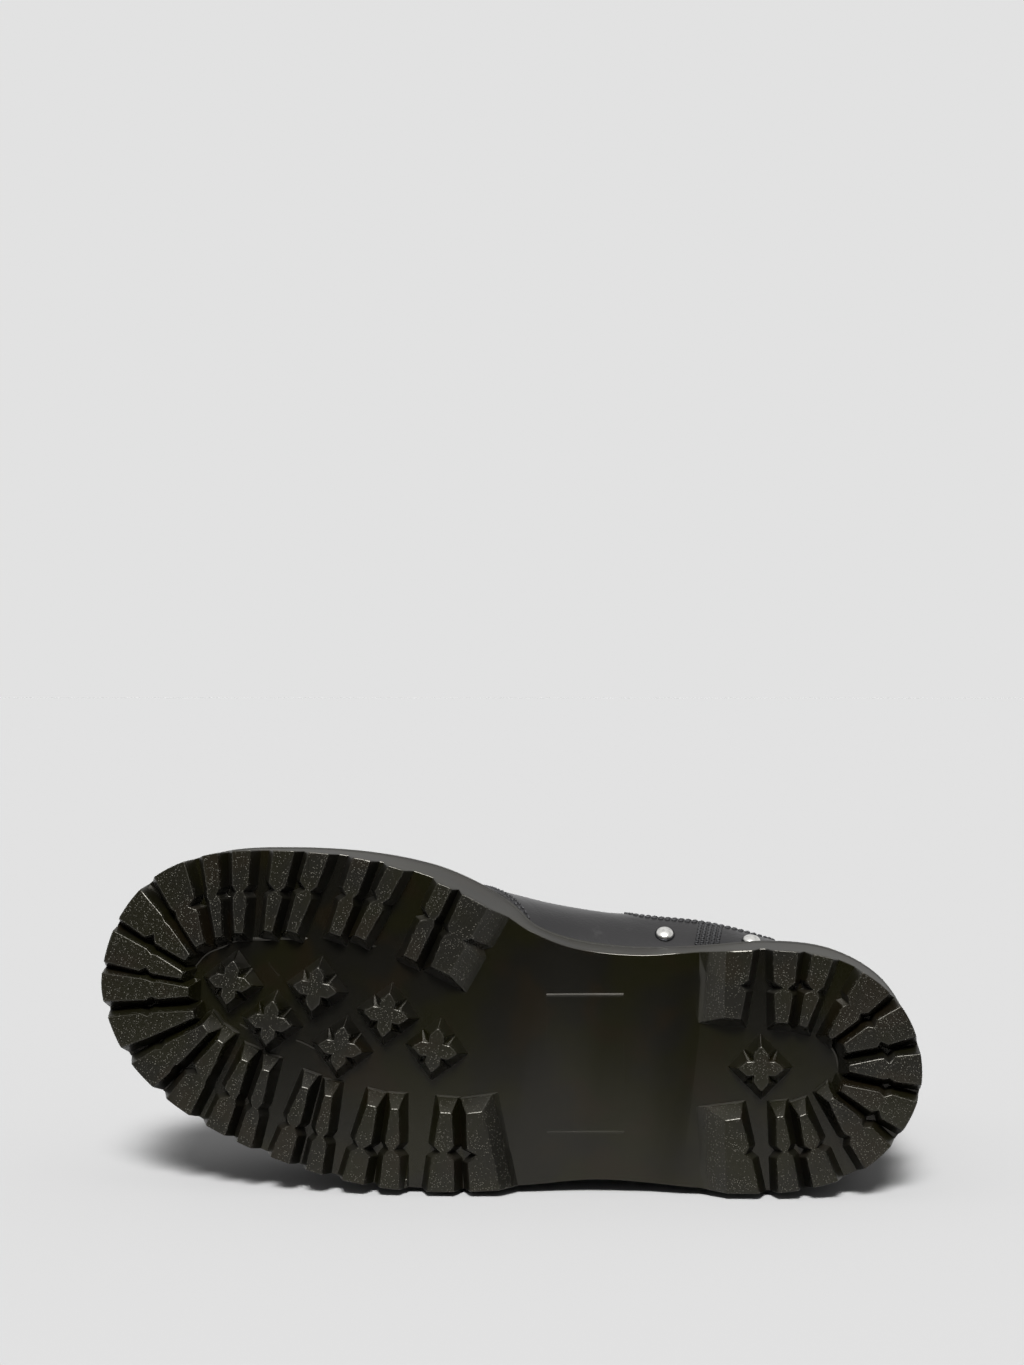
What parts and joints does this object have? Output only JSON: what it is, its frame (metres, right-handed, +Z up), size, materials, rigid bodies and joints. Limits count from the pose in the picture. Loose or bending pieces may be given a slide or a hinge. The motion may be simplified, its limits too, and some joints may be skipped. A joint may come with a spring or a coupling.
{
  "type": "platform chelsea boot",
  "caption": "Platform chelsea boot in black leather with elastic side panels, domed studs and a thick lugged sole, lying on its outer side with the tread showing.",
  "frame": {"origin": "middle of the bounding box at floor level, with the boot lying on its outer side", "axes": "+X from the toe to the heel, -Y the way the tread faces, +Z up, from the outer side of the boot to its inner side"},
  "size_m": [0.2944, 0.1966, 0.1209],
  "materials": {
    "sole_rubber": "near-black moulded rubber, satin with a fine stipple on the tread blocks",
    "smooth_leather": "black smooth leather, soft shine",
    "gore_elastic": "black ribbed elastic webbing, dull",
    "insole_board": "dark textile cover, dull",
    "stud_steel": "polished nickel-plated steel"
  },
  "bodies": {
    "root": {"sole": "sole_rubber", "upper": "smooth_leather", "insole": "insole_board", "gore_inner": "gore_elastic", "gore_outer": "gore_elastic", "stud_inner_front": "stud_steel", "stud_inner_rear": "stud_steel", "stud_outer_front": "stud_steel", "stud_outer_rear": "stud_steel"}
  },
  "joints": []
}
